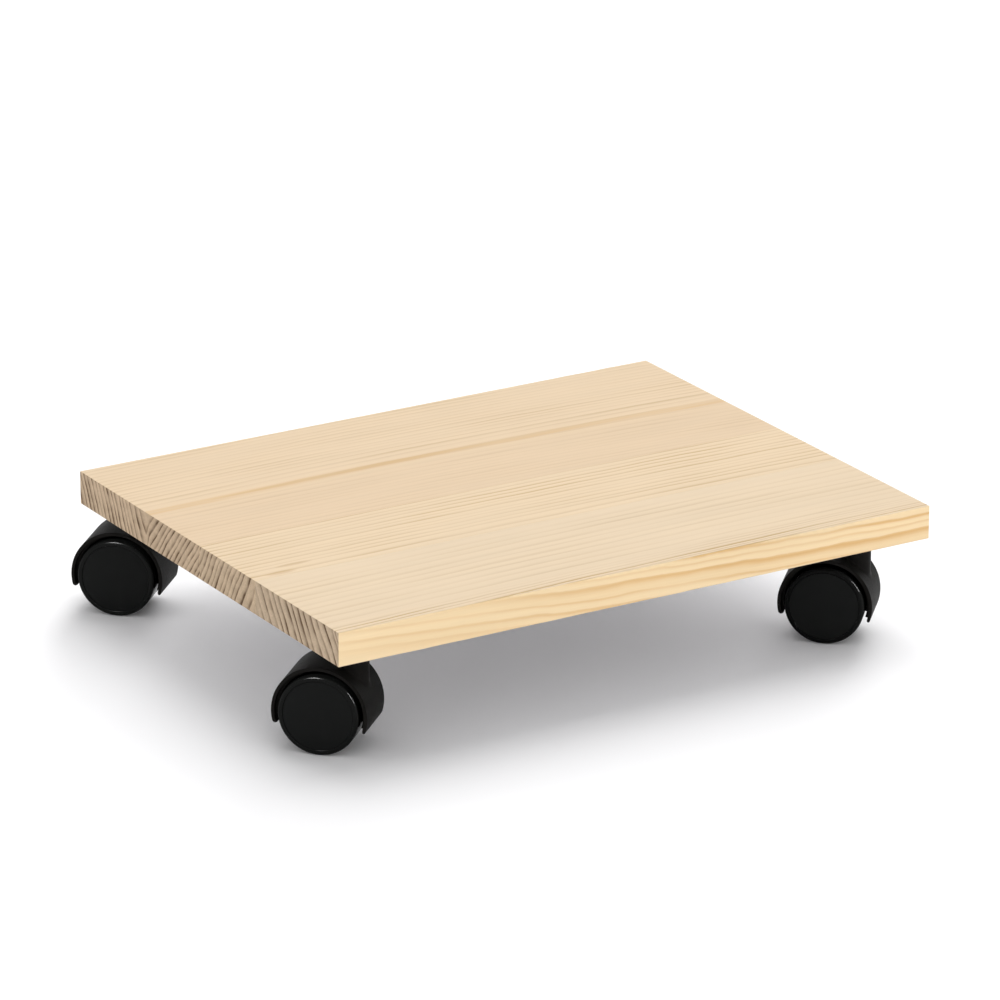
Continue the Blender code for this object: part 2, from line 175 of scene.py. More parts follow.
SLEEVE_INNER = 4.1 * MM
SLEEVE_OUTER = 5.2 * MM

SCREW_NUMBERS = (1, 2, 3, 4)
# How far each screw of a caster, and each caster's set of screws, is turned on from the last
SCREW_TURN, CASTER_TURN = 1.9, 0.7

ROUND_STEPS = 4
TURNED_FACETS = 128
SMALL_FACETS = 48
SHARP_ANGLE = math.radians(32)
MERGE = 1e-7


# ---------------------------------------------------------------------------
# Mesh tools
# ---------------------------------------------------------------------------


def arc(centre, radius, start, end, steps):
    angles = [start + (end - start) * step / steps for step in range(steps + 1)]
    return [(centre[0] + radius * math.cos(a), centre[1] + radius * math.sin(a)) for a in angles]


def rounded(corners, steps=ROUND_STEPS):
    """An outline from (x, y, radius) corners, each rounded by an arc of its radius."""
    points = []
    for index, (x, y, radius) in enumerate(corners):
        here = Vector((x, y))
        if radius == 0.0:
            points.append((x, y))
            continue
        back = (Vector(corners[index - 1][:2]) - here).normalized()
        ahead = (Vector(corners[(index + 1) % len(corners)][:2]) - here).normalized()
        half = back.angle(ahead) / 2
        centre = here + (back + ahead).normalized() * radius / math.sin(half)
        first = here + back * radius / math.tan(half) - centre
        last = here + ahead * radius / math.tan(half) - centre
        start = math.atan2(first.y, first.x)
        sweep = math.atan2(first.cross(last), first.dot(last))
        points += arc(centre, radius, start, start + sweep, steps)
    return points


def added(name, data):
    """A new object of the scene that shows data."""
    item = bpy.data.objects.new(name, data)
    bpy.context.scene.collection.objects.link(item)
    return item


def shaded(mesh):
    """mesh, smooth but for its sharp edges."""
    mesh.shade_smooth()
    mesh.set_sharp_from_angle(angle=SHARP_ANGLE)
    return mesh


def finished(name, bm):
    """The mesh of bm with its seams merged and its faces outward."""
    bmesh.ops.remove_doubles(bm, verts=bm.verts, dist=MERGE)
    bmesh.ops.recalc_face_normals(bm, faces=bm.faces)
    mesh = bpy.data.meshes.new(name)
    bm.to_mesh(mesh)
    bm.free()
    return shaded(mesh)


def skin(name, loops):
    """A closed skin through loops of equally many points, capped at both ends."""
    bm = bmesh.new()
    loops = [[bm.verts.new(point) for point in loop] for loop in loops]
    for low, high in zip(loops, loops[1:]):
        for index in range(len(low)):
            after = (index + 1) % len(low)
            bm.faces.new((low[index], low[after], high[after], high[index]))
    bm.faces.new(loops[0])
    bm.faces.new(loops[-1])
    return finished(name, bm)


def turned(name, outline, facets=TURNED_FACETS):
    """A solid turned about Z from (radius, z) points; one that ends on the axis is closed by it."""
    bm = bmesh.new()
    verts = [bm.verts.new((radius, 0.0, z)) for radius, z in outline]
    on_axis = outline[0][0] == 0.0 and outline[-1][0] == 0.0
    followers = verts[1:] if on_axis else verts[1:] + verts[:1]
    edges = [bm.edges.new(pair) for pair in zip(verts, followers)]
    bmesh.ops.spin(
        bm, geom=verts + edges, cent=(0, 0, 0), axis=(0, 0, 1), angle=2 * math.pi, steps=facets
    )
    return finished(name, bm)


def slab(name, outline_at, half, edge, divisions, place):
    """A flat body of thickness 2 * half with its rim rounded by edge.

    outline_at(inset) gives the outline drawn in by inset, and place(point, depth) the 3-D point.
    """
    steps = [math.pi / 2 * step / ROUND_STEPS for step in range(ROUND_STEPS + 1)]
    rim = [(edge * (1 - math.sin(a)), half - edge * (1 - math.cos(a))) for a in steps]
    flat = [(0.0, (half - edge) * (1 - 2 * n / divisions)) for n in range(1, divisions)]
    layers = rim + flat + [(inset, -depth) for inset, depth in reversed(rim)]
    loops = [[place(point, depth) for point in outline_at(inset)] for inset, depth in layers]
    return skin(name, loops)


def in_yz(point, depth):
    return (depth, point[0], point[1])


def in_xy(point, depth):
    return (point[0], point[1], depth)


def combined(name, base, steps):
    """The mesh base after each (operation, mesh) of steps."""
    items = [added(name, base)]
    for operation, mesh in steps:
        items.append(added(f"{name}_{operation}", mesh))
        boolean = items[0].modifiers.new(operation, "BOOLEAN")
        boolean.operation = operation
        boolean.object = items[-1]
    graph = bpy.context.evaluated_depsgraph_get()
    mesh = bpy.data.meshes.new_from_object(items[0].evaluated_get(graph))
    for item in items:
        bpy.data.objects.remove(item, do_unlink=True)
    mesh.materials.clear()
    return shaded(mesh)


def even_normals(item):
    """Shades big flat faces flat beside their small rounded edges."""
    weighted = item.modifiers.new("even_normals", "WEIGHTED_NORMAL")
    weighted.keep_sharp = True


# ---------------------------------------------------------------------------
# Material tools
# ---------------------------------------------------------------------------


class Graph:
    """A material's node tree; each method adds a node and returns its output."""

    def __init__(self, name):
        self.material = bpy.data.materials.new(name)
        self.material.use_nodes = True
        self.tree = self.material.node_tree
        self.shader = self.tree.nodes["Principled BSDF"]
        self.metres = self.add("ShaderNodeTexCoord").outputs["Object"]

    def feed(self, socket, value):
        if isinstance(value, bpy.types.NodeSocket):
            self.tree.links.new(value, socket)
        else:
            socket.default_value = value

    def add(self, kind, settings=None, **inputs):
        node = self.tree.nodes.new(kind)
        for key, value in (settings or {}).items():
            setattr(node, key, value)
        for key, value in inputs.items():
            self.feed(node.inputs[key.replace("_", " ")], value)
        return node

    def math(self, operation, *values):
        node = self.add("ShaderNodeMath", {"operation": operation})
        for socket, value in zip(node.inputs, values):
            self.feed(socket, value)
        return node.outputs[0]

    def scaled(self, vector, scale):
        """A vector or colour times scale, part by part."""
        node = self.add("ShaderNodeVectorMath", {"operation": "MULTIPLY"})
        self.feed(node.inputs[0], vector)
        self.feed(node.inputs[1], scale)
        return node.outputs[0]

    def split(self, vector):
        return self.add("ShaderNodeSeparateXYZ", Vector=vector).outputs

    def noise(self, scale, detail, roughness=0.5):
        """Noise about 0, mostly between -1 and 1, with features 1 / scale metres long per axis."""
        node = self.add(
            "ShaderNodeTexNoise",
            Vector=self.scaled(self.metres, scale),
            Scale=1.0,
            Detail=detail,
            Roughness=roughness,
        )
        return self.math("MULTIPLY_ADD", node.outputs[0], 4.0, -2.0)

    def noise_along(self, value, scale, detail):
        """Noise between 0 and 1 that changes with one number."""
        inputs = {"W": value, "Scale": scale, "Detail": detail}
        return self.add("ShaderNodeTexNoise", {"noise_dimensions": "1D"}, **inputs).outputs[0]

    def step(self, value, low, high, start=0.0, end=1.0):
        node = self.add("ShaderNodeMapRange", {"interpolation_type": "SMOOTHSTEP"}, Value=value)
        ends = {"From Min": low, "From Max": high, "To Min": start, "To Max": end}
        for key, number in ends.items():
            self.feed(node.inputs[key], number)
        return node.outputs[0]

    def mix(self, factor, first, second):
        """A colour between first and second, by the colour sockets of a mix node."""
        node = self.add("ShaderNodeMix", {"data_type": "RGBA"})
        self.feed(node.inputs[0], factor)
        for socket, colour in ((node.inputs[6], first), (node.inputs[7], second)):
            self.feed(socket, (*colour, 1.0) if isinstance(colour, tuple) else colour)
        return node.outputs[2]

    def colour(self, colour):
        node = self.add("ShaderNodeRGB")
        node.outputs[0].default_value = (*colour, 1.0)
        return node.outputs[0]

    def shade(self, colour, factor):
        """colour made lighter or darker by factor."""
        node = self.add("ShaderNodeVectorMath", {"operation": "SCALE"})
        self.feed(node.inputs[0], colour)
        self.feed(node.inputs["Scale"], factor)
        return node.outputs[0]

    def ramp(self, factor, stops):
        node = self.add("ShaderNodeValToRGB", Fac=factor)
        points = node.color_ramp.elements
        for _ in stops[2:]:
            points.new(0.5)
        for point, (position, value) in zip(points, stops):
            point.position = position
            point.color = (value, value, value, 1.0)
        return node.outputs[0]

    def surface(self, **inputs):
        for key, value in inputs.items():
            self.feed(self.shader.inputs[key.replace("_", " ")], value)

    def bump(self, height, distance, strength=1.0):
        node = self.add("ShaderNodeBump", Strength=strength, Distance=distance, Height=height)
        self.feed(self.shader.inputs["Normal"], node.outputs[0])


# ---------------------------------------------------------------------------
# Materials
# ---------------------------------------------------------------------------

# Latewood across one year's ring, from the pith side out
RING_PROFILE = ((0.0, 0.0), (0.35, 0.04), (0.62, 0.25), (0.84, 1.0), (0.95, 0.85), (1.0, 0.0))
# The same as it shows on the front and rear faces, which cut the rings at a slant
SLANT_PROFILE = ((0.0, 0.12), (0.30, 0.0), (0.55, 0.30), (0.78, 1.0), (0.90, 0.80), (1.0, 0.12))

# Noises as (features per metre along x, y and z, detail, roughness where it isn't 0.5), and how
# far each one moves the rings or changes the tone
WANDER, WANDER_REACH = ((6, 9, 9), 2.0), 0.7
RIPPLE, RIPPLE_REACH = ((22, 70, 70), 2.0), 0.5
SHAKE, SHAKE_REACH = ((120, 400, 400), 2.0), 0.1
FIBRE, FIBRE_TONE = ((45, 1500, 1500), 3.0, 0.6), 0.020
HAIR, HAIR_TONE = ((12, 420, 420), 2.0), 0.018
CLOUD, CLOUD_TONE = ((9, 38, 38), 1.0), 0.018
PORES, PORES_TONE = ((900, 1300, 1300), 2.0), 0.10
MOTTLE, MOTTLE_TONE = ((300, 260, 260), 2.0), 0.09
LINES_FADE = (13, 60, 60), 0.0
END_FADE = (60, 110, 150), 1.0
# How the lines' strength follows those fades, and how it grows along x on the front and rear faces
FADE_RANGE = (-0.9, 0.9, 0.55, 1.25)
STREAK_RANGE = (-120.0, 60.0, 0.45, 1.0)
# Noises along the count of the rings: how unevenly they are spaced, and zones of darker rings
WAVER_SCALE = 0.7
ZONE_SCALE, ZONE_RANGE, ZONE_TONE = 0.45, (0.40, 0.68), 0.12
# The lines' strength: that of the faintest ring, on a slanting cut, and their contrast on the ends
FAINTEST_RING = 0.5
SLANT_TONE = 0.72
END_CONTRAST = 0.8
# How squarely a face must turn to an end or a side to show that cut of the wood
FACING = (0.45, 0.85)
# The brown streak over the pith, how far it reaches, and how streaky it is; and the resin spots
HEART_REACH, HEART_STRENGTH = 3.2, 0.46
HEART_STREAKS = (-1.0, 1.0, 0.7, 1.25)
SPOT_STRENGTH = 0.36

TOP_LIGHT, TOP_DARK = (0.772, 0.610, 0.424), (0.518, 0.333, 0.136)
# The front and rear faces are paler than the top: partly the wood's own colour on that cut, partly
# painted light that stands in for the brighter light falling on the front face
SIDE_LIGHT, SIDE_DARK = (0.950, 0.735, 0.455), (0.730, 0.430, 0.155)
END_LIGHT, END_DARK = (0.578, 0.440, 0.304), (0.108, 0.057, 0.021)
HEART = (0.655, 0.420, 0.175)
DEEP = (0.976, 0.960, 0.950)
RESIN = (0.470, 0.280, 0.105)
BOUNCE = (0.700, 0.690, 0.695)

# Roughness of the wood, and what the latewood, the fibres and the end grain add to it
WOOD_ROUGHNESS = 0.60
LINE_ROUGHNESS, FIBRE_ROUGHNESS, END_ROUGHNESS = -0.10, 0.04, 0.2
WOOD_SPECULAR = 0.35
WOOD_RELIEF = 0.03 * MM
FIBRE_RELIEF, PORES_RELIEF = 0.25, 0.6


def rings(graph, wood, x, y, z):
    """How far a point is across from the pith, its radius, and the count of rings up to it."""
    wander = graph.math("MULTIPLY", graph.noise(*WANDER), WANDER_REACH)
    ripple = graph.math("MULTIPLY", graph.noise(*RIPPLE), RIPPLE_REACH)
    shake = graph.math("MULTIPLY", graph.noise(*SHAKE), SHAKE_REACH)
    offset = graph.math("ADD", graph.math("ADD", wander, ripple), shake)
    bend_at, curvature = wood["bend"]
    along = graph.math("SUBTRACT", x, bend_at)
    bowed = graph.math("MULTIPLY", graph.math("MULTIPLY", along, along), curvature)
    across = graph.math("ADD", graph.math("SUBTRACT", y, wood["pith"]), offset)
    across = graph.math("ADD", across, bowed)
    heart = wood["heart"]
    radius = graph.math("SQRT", graph.math("MULTIPLY_ADD", across, across, heart * heart))
    depth = graph.math("MULTIPLY", z, graph.step(across, -heart, heart, *wood["lean"]))
    drift = graph.math("MULTIPLY", x, graph.step(y, *wood["fan"]))
    ring_at = graph.math("ADD", graph.math("SUBTRACT", radius, depth), drift)

    spacing, (dense_from, dense_spacing) = wood["spacing"], wood["dense"]
    beyond = graph.math("MAXIMUM", graph.math("SUBTRACT", ring_at, dense_from), 0.0)
    extra = graph.math("MULTIPLY", beyond, 1 / dense_spacing - 1 / spacing)
    return across, radius, graph.math("MULTIPLY_ADD", ring_at, 1 / spacing, extra)


def pine(name, wood):
    """Planed pine whose year rings are one solid pattern, cut by each face of a stave.

    Lengths are in millimetres in the deck's frame, and each of the WOODS holds:
    pith: the rings' middle line in y, and heart: how far they are rounded off around it
    bend: how the pith curves as (x, curvature)
    lean: how far a ring leans across per unit of depth, on the front and rear side of the pith
    spacing: between rings, and dense: (from, spacing) for another spacing beyond that distance
    uneven: how much the spacing wavers
    fan: the rings' drift along x as (y, y, drift at the first, drift at the second)
    lines: the strength of the lines on the flat faces as (y, y, at the first, at the second)
    edge: the same for the lines beyond (y, y), added to it
    calm: where the rings are faint on every face, as (y, y, at the first, at the second)
    deep: where the wood is a little browner, as (y, y, at the first, at the second)
    spots: (x, y, half length, half width) of each resin spot
    tint: the stave's own tone
    """
    graph = Graph(name)
    x, y, z = graph.split(graph.scaled(graph.metres, (1 / MM, 1 / MM, 1 / MM)))
    across, radius, count = rings(graph, wood, x, y, z)
    waver = graph.noise_along(count, WAVER_SCALE, 0.0)
    year = graph.math("MULTIPLY_ADD", waver, wood["uneven"], count)
    part = graph.math("FRACT", year)
    which = graph.add(
        "ShaderNodeTexWhiteNoise", {"noise_dimensions": "1D"}, W=graph.math("FLOOR", year)
    ).outputs["Value"]
    strength = graph.math("MULTIPLY_ADD", which, 1 - FAINTEST_RING, FAINTEST_RING)
    strength = graph.math("MULTIPLY", strength, graph.step(y, *wood["calm"]))
    line = graph.math("MULTIPLY", graph.ramp(part, RING_PROFILE), strength)
    slant = graph.math("MULTIPLY", graph.ramp(part, SLANT_PROFILE), strength)
    zone = graph.step(graph.noise_along(count, ZONE_SCALE, 1.0), *ZONE_RANGE)

    normal = graph.split(graph.add("ShaderNodeNewGeometry").outputs["Normal"])
    on_end = graph.step(graph.math("ABSOLUTE", normal[0]), *FACING)
    on_side = graph.step(graph.math("ABSOLUTE", normal[1]), *FACING)
    fibre, hair, cloud = graph.noise(*FIBRE), graph.noise(*HAIR), graph.noise(*CLOUD)
    pores, mottle = graph.noise(*PORES), graph.noise(*MOTTLE)

    fade = graph.step(graph.noise(*LINES_FADE), *FADE_RANGE)
    lines = graph.math("ADD", graph.step(y, *wood["lines"]), graph.step(y, *wood["edge"]))
    top_line = graph.math("MULTIPLY", graph.math("MULTIPLY", line, lines), fade)
    streak = graph.step(x, *STREAK_RANGE)
    slant = graph.math("MULTIPLY", slant, SLANT_TONE)
    side_line = graph.math("MULTIPLY_ADD", zone, ZONE_TONE, slant)
    side_line = graph.math("MULTIPLY", graph.math("MULTIPLY", side_line, streak), fade)
    patch = graph.step(graph.noise(*END_FADE), *FADE_RANGE)
    end_line = graph.math("MULTIPLY_ADD", zone, ZONE_TONE, graph.math("POWER", line, END_CONTRAST))
    end_line = graph.math("MULTIPLY", end_line, patch)

    heart = wood["heart"]
    top = graph.mix(top_line, TOP_LIGHT, TOP_DARK)
    core = graph.step(radius, heart, heart + HEART_REACH, HEART_STRENGTH, 0.0)
    core = graph.math("MULTIPLY", core, graph.step(hair, *HEART_STREAKS))
    top = graph.mix(core, top, HEART)
    top = graph.mix(graph.step(y, *wood["deep"]), top, graph.scaled(top, DEEP))
    for spot_x, spot_y, half_length, half_width in wood["spots"]:
        off_x = graph.math("DIVIDE", graph.math("SUBTRACT", x, spot_x), half_length)
        off_y = graph.math("SUBTRACT", across, spot_y - wood["pith"])
        off_y = graph.math("DIVIDE", off_y, half_width)
        squares = graph.math("MULTIPLY_ADD", off_y, off_y, graph.math("MULTIPLY", off_x, off_x))
        top = graph.mix(graph.step(squares, 0.0, 1.0, SPOT_STRENGTH, 0.0), top, RESIN)
    # Paler than the top partly as painted light for the light on the front face
    side = graph.mix(side_line, SIDE_LIGHT, SIDE_DARK)
    end = graph.mix(end_line, END_LIGHT, END_DARK)
    colour = graph.mix(on_end, graph.mix(on_side, top, side), end)

    grain = graph.math("MULTIPLY_ADD", fibre, FIBRE_TONE, 1.0)
    grain = graph.math("MULTIPLY_ADD", hair, HAIR_TONE, grain)
    grain = graph.math("MULTIPLY_ADD", cloud, CLOUD_TONE, grain)
    speckle = graph.math("MULTIPLY", mottle, MOTTLE_TONE)
    speckle = graph.math("MULTIPLY_ADD", pores, PORES_TONE, speckle)
    tone = graph.math("MULTIPLY_ADD", speckle, on_end, grain)
    tinted = graph.scaled(graph.shade(colour, tone), wood["tint"])
    # The light it throws on other pieces is grey, so that the wood's colour doesn't spill onto them
    direct = graph.add("ShaderNodeLightPath").outputs["Is Camera Ray"]
    shown = graph.mix(direct, BOUNCE, tinted)

    rough = graph.math("MULTIPLY_ADD", line, LINE_ROUGHNESS, WOOD_ROUGHNESS)
    rough = graph.math("MULTIPLY_ADD", fibre, FIBRE_ROUGHNESS, rough)
    rough = graph.math("MULTIPLY_ADD", on_end, END_ROUGHNESS, rough)
    graph.surface(Base_Color=shown, Roughness=rough, Specular_IOR_Level=WOOD_SPECULAR)
    height = graph.math("MULTIPLY_ADD", fibre, FIBRE_RELIEF, line)
    pores = graph.math("MULTIPLY", pores, on_end)
    graph.bump(graph.math("MULTIPLY_ADD", pores, PORES_RELIEF, height), WOOD_RELIEF)
    return graph.material


# Noises of the plastics, the metals and the floor, and what each one does
PEBBLE, PEBBLE_TONE = ((2600, 2600, 2600), 2.0), 0.10
HAZE, HAZE_TONE, HAZE_ROUGHNESS = ((90, 90, 90), 2.0), 0.10, 0.04
SCUFF, SCUFF_RANGE, SCUFF_TONE = ((60, 900, 900), 3.0, 0.6), (0.55, 1.1), 0.25
SPANGLE, SPANGLE_TONE = ((300, 300, 300), 3.0), 0.06
RUB, RUB_ROUGHNESS, RUB_RELIEF = ((120, 2500, 2500), 2.0), 0.05, 0.004 * MM
MILK, MILK_TONE, MILK_ROUGHNESS = ((200, 200, 200), 2.0), 0.03, 0.05
MILK_RELIEF = 0.01 * MM
DUST, DUST_TONE = ((3, 3, 3), 1.0), 0.004

# Each black plastic's colour, roughness, specular level and relief
BLACK_NYLON = {
    "hood": ((0.0103, 0.0096, 0.0087), 0.48, 0.028, 0.02 * MM),
    "wheel": ((0.0017, 0.0018, 0.0017), 0.17, 0.06, 0.006 * MM),
    "cover": ((0.0070, 0.0075, 0.0072), 0.55, 0.08, 0.015 * MM),
}
# Colour and roughness of each metal, of the sleeve's plastic and of the floor
PLATE_ZINC = (0.60, 0.60, 0.58), 0.30
SCREW_ZINC = (0.63, 0.61, 0.55), 0.26
TURNED_STEEL = (0.56, 0.56, 0.55), 0.22
SPRING_STEEL = (0.18, 0.18, 0.19), 0.35
ACETAL = (0.62, 0.62, 0.58), 0.4
FLOOR_WHITE = (0.940, 0.936, 0.944), 0.9
# How much light goes into the sleeve's plastic, and how deep
ACETAL_GLOW, ACETAL_DEPTH = 0.1, 1.0 * MM


def black_nylon(name, colour, roughness, specular, relief):
    """Moulded black plastic: a fine pebbled skin with faint unevenness and scuffs."""
    graph = Graph(name)
    pebble, haze = graph.noise(*PEBBLE), graph.noise(*HAZE)
    scuff = graph.step(graph.noise(*SCUFF), *SCUFF_RANGE)
    tone = graph.math("MULTIPLY_ADD", haze, HAZE_TONE, 1.0)
    tone = graph.math("MULTIPLY_ADD", pebble, PEBBLE_TONE, tone)
    tone = graph.math("MULTIPLY_ADD", scuff, SCUFF_TONE, tone)
    graph.surface(
        Base_Color=graph.shade(graph.colour(colour), tone),
        Roughness=graph.math("MULTIPLY_ADD", haze, HAZE_ROUGHNESS, roughness),
        Specular_IOR_Level=specular,
    )
    graph.bump(pebble, relief)
    return graph.material


def bright_metal(name, colour, roughness):
    """Bright plated or turned steel with faint crystalline clouding and rubbed streaks."""
    graph = Graph(name)
    spangle, rub = graph.noise(*SPANGLE), graph.noise(*RUB)
    tone = graph.math("MULTIPLY_ADD", spangle, SPANGLE_TONE, 1.0)
    graph.surface(
        Base_Color=graph.shade(graph.colour(colour), tone),
        Metallic=1.0,
        Roughness=graph.math("MULTIPLY_ADD", rub, RUB_ROUGHNESS, roughness),
    )
    graph.bump(rub, RUB_RELIEF)
    return graph.material


def acetal(name, colour, roughness):
    """Milky bearing plastic."""
    graph = Graph(name)
    milk = graph.noise(*MILK)
    tone = graph.math("MULTIPLY_ADD", milk, MILK_TONE, 1.0)
    graph.surface(
        Base_Color=graph.shade(graph.colour(colour), tone),
        Roughness=graph.math("MULTIPLY_ADD", milk, MILK_ROUGHNESS, roughness),
        Subsurface_Weight=ACETAL_GLOW,
        Subsurface_Scale=ACETAL_DEPTH,
    )
    graph.bump(milk, MILK_RELIEF)
    return graph.material


def studio_white(name, colour, roughness):
    """A floor that reads as plain white wherever the light reaches it."""
    graph = Graph(name)
    tone = graph.math("MULTIPLY_ADD", graph.noise(*DUST), DUST_TONE, 1.0)
    graph.surface(
        Base_Color=graph.shade(graph.colour(colour), tone),
        Roughness=roughness,
        Specular_IOR_Level=0.0,
    )
    return graph.material


# ---------------------------------------------------------------------------
# Deck
# ---------------------------------------------------------------------------


def stave_outline(front, rear, inset):
    """A stave's (y, z) outline drawn in by inset, its edges rounded only where no stave joins."""
    round_off = max(DECK_EDGE - inset, LEAST_EDGE)
    front_free = abs(front - DECK_LOW.y) < MM
    rear_free = abs(rear - DECK_HIGH.y) < MM
    low, high = UNDERSIDE + inset, DECK_HIGH.z - inset
    front += inset if front_free else -GLUE_GAP / 2
    rear -= inset if rear_free else -GLUE_GAP / 2
    ahead = round_off if front_free else 0.0
    behind = round_off if rear_free else 0.0
    corners = [(front, low, ahead), (rear, low, behind), (rear, high, behind), (front, high, ahead)]
    return rounded(corners)


def worn(mesh):
    """Softens the long edges unevenly, as sanding by hand does."""
    for vertex in mesh.vertices:
        _, y, z = vertex.co
        near_y = min(y - DECK_LOW.y, DECK_HIGH.y - y)
        near_z = min(z - DECK_LOW.z, DECK_HIGH.z - z)
        if near_y < DECK_EDGE and near_z < DECK_EDGE:
            place = Vector([part * scale for part, scale in zip(vertex.co, WEAR_SCALE)])
            bite = WEAR_DEPTH * (WEAR_EVEN + noise.noise(place))
            vertex.co.y += bite if y < 0 else -bite
            vertex.co.z += bite if z < UNDERSIDE / 2 else -bite
    return mesh


WOODS = {
    "rear": dict(
        pith=63.0,
        heart=2.2,
        bend=(-35.0, 1.35e-4),
        lean=(0.85, 0.45),
        spacing=6.0,
        dense=(16.0, 4.2),
        uneven=0.6,
        fan=(55.0, 70.0, -0.016, 0.0),
        lines=(60.0, 64.0, 0.27, 0.50),
        edge=(90.0, 105.0, 0.0, -0.12),
        calm=(0.0, 1.0, 1.0, 1.0),
        deep=(48.0, 70.0, 1.0, 0.0),
        spots=(),
        tint=(0.982, 0.970, 0.955),
    ),
    "middle": dict(
        pith=61.0,
        heart=2.2,
        bend=(0.0, 6e-5),
        lean=(0.58, 0.5),
        spacing=4.1,
        dense=(102.0, 7.0),
        uneven=0.25,
        fan=(0.0, 1.0, -0.004, -0.004),
        lines=(-8.0, 0.0, 0.73, 0.60),
        edge=(0.0, 1.0, 0.0, 0.0),
        calm=(-52.0, -44.0, 0.6, 1.0),
        deep=(0.0, 1.0, 0.0, 0.0),
        spots=((-147.0, -40.0, 13.0, 2.4), (-158.0, -47.3, 11.0, 2.8)),
        tint=(1.008, 1.008, 0.995),
    ),
    "front": dict(
        pith=-31.3,
        heart=2.2,
        bend=(40.0, 6e-5),
        lean=(-0.62, -0.6),
        spacing=6.2,
        dense=(90.0, 3.1),
        uneven=0.6,
        fan=(-130.0, -112.0, 0.026, 0.008),
        lines=(-125.0, -100.0, 0.36, 0.34),
        edge=(-130.0, -124.0, 0.85, 0.0),
        calm=(-66.0, -55.0, 1.0, 0.3),
        deep=(0.0, 1.0, 0.0, 0.0),
        spots=(),
        tint=(0.983, 0.999, 1.015),
    ),
}


def build_staves():
    half = (DECK_HIGH.x - DECK_LOW.x) / 2
    for part, wood in WOODS.items():
        node = f"deck_stave_{part}"
        low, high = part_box(node)
        mesh = slab(
            f"{node}_wood",
            lambda inset: stave_outline(low.y, high.y, inset),
            half,
            DECK_EDGE,
            STAVE_DIVISIONS,
            in_yz,
        )
        look = ("pine", pine(f"pine_{part}", wood))
        even_normals(put(f"{node}_wood", worn(mesh), look, Matrix.Identity(4), "deck", node))


# ---------------------------------------------------------------------------
# Caster pieces, each in its own frame
# ---------------------------------------------------------------------------


def about_axle(radius, start, end, steps):
    return arc((TRAIL, AXLE_Z), radius, start, end, steps)


def round_end(inside, outside, at, start, inset=0.0):
    """The half circle that rounds off a band about the axle at the angle at."""
    middle = about_axle((inside + outside) / 2, at, at, 1)[0]
    return arc(middle, (outside - inside) / 2 - inset, start, start + math.pi, LIP_STEPS)[1:-1]


def wall_outline(inset):
    """The hood's half-round wall in (y, z), drawn in by inset, both lips rounded.

    It is thick from the trailing lip to LINING_END, and a bare shell from there to the other lip.
    """
    outline = about_axle(HOOD_RADIUS - inset, TRAILING_END, LEADING_END, WALL_STEPS)
    outline += round_end(SHELL_INSIDE, HOOD_RADIUS, LEADING_END, LEADING_END, inset)
    outline += about_axle(SHELL_INSIDE + inset, LEADING_END, LINING_END, LIP_STEPS)
    outline += about_axle(LINING_INSIDE + inset, LINING_END, TRAILING_END, WALL_STEPS)
    half_turn = TRAILING_END + math.pi
    return outline + round_end(LINING_INSIDE, HOOD_RADIUS, TRAILING_END, half_turn, inset)


def pocket(side):
    """The step in one side face of the thick wall, which leaves a bead around it."""
    outline = about_axle(POCKET_OUTSIDE, POCKET_START, POCKET_END, WALL_STEPS)
    outline += about_axle(POCKET_INSIDE, POCKET_END, POCKET_START, WALL_STEPS)
    outline += round_end(POCKET_INSIDE, POCKET_OUTSIDE, POCKET_START, POCKET_START + math.pi)
    ends = (side * (HOOD_HALF_WIDTH - POCKET_DEPTH), 2 * side * HOOD_HALF_WIDTH)
    return skin("pocket", [[in_yz(point, x) for point in outline] for x in ends])


def web_outline(inset):
    in_wall = (HOOD_RADIUS + SHELL_INSIDE) / 2
    wall = about_axle(in_wall - inset, WEB_TRAILING_END, WEB_LEADING_END, WALL_STEPS)
    return wall + about_axle(HUB_RADIUS - inset, *WEB_FOOT, 2 * LIP_STEPS)


def crown_z(y):
    """Height of the hood's outer surface above a place y."""
    return AXLE_Z + math.sqrt(HOOD_RADIUS**2 - (y - TRAIL) ** 2)


def boss_mesh():
    """The swivel boss: an upright post that flows into the hood's curved crown."""
    angles = [2 * math.pi * n / SMALL_FACETS for n in range(SMALL_FACETS)]
    turns = [math.pi / 2 * n / (2 * ROUND_STEPS) for n in range(2 * ROUND_STEPS + 1)]

    def level(radius, z):
        return [(radius * math.cos(a), radius * math.sin(a), z) for a in angles]

    def draped(radius, lift):
        return [(x, y, crown_z(y) + lift) for x, y, _ in level(radius, 0.0)]

    loops = []
    for turn in turns:
        radius = BOSS_RADIUS - BOSS_EDGE * (1 - math.sin(turn))
        loops.append(level(radius, BOSS_TOP - BOSS_EDGE * (1 - math.cos(turn))))
    for turn in turns:
        radius = BOSS_RADIUS + BOSS_FILLET * (1 - math.cos(turn))
        loops.append(draped(radius, BOSS_FILLET * (1 - math.sin(turn))))
    loops.append(draped(BOSS_RADIUS + BOSS_FILLET, -BOSS_SKIRT))
    loops.append(draped(BOSS_RADIUS, -BOSS_TUCK))
    loops.append(level(BOSS_RADIUS, BOSS_BOTTOM))
    return skin("hood_boss", loops)


def on_axle(mesh, side=1):
    """Lays a mesh that was turned about Z along the axle, its +Z end towards side * X."""
    turn = Matrix.Rotation(side * math.pi / 2, 4, "Y")
    mesh.transform(Matrix.Translation((0, TRAIL, AXLE_Z)) @ turn)
    return mesh


def plug(name, radius, low, high, facets=TURNED_FACETS):
    """A plain round cutter."""
    return turned(name, [(0.0, low), (radius, low), (radius, high), (0.0, high)], facets)


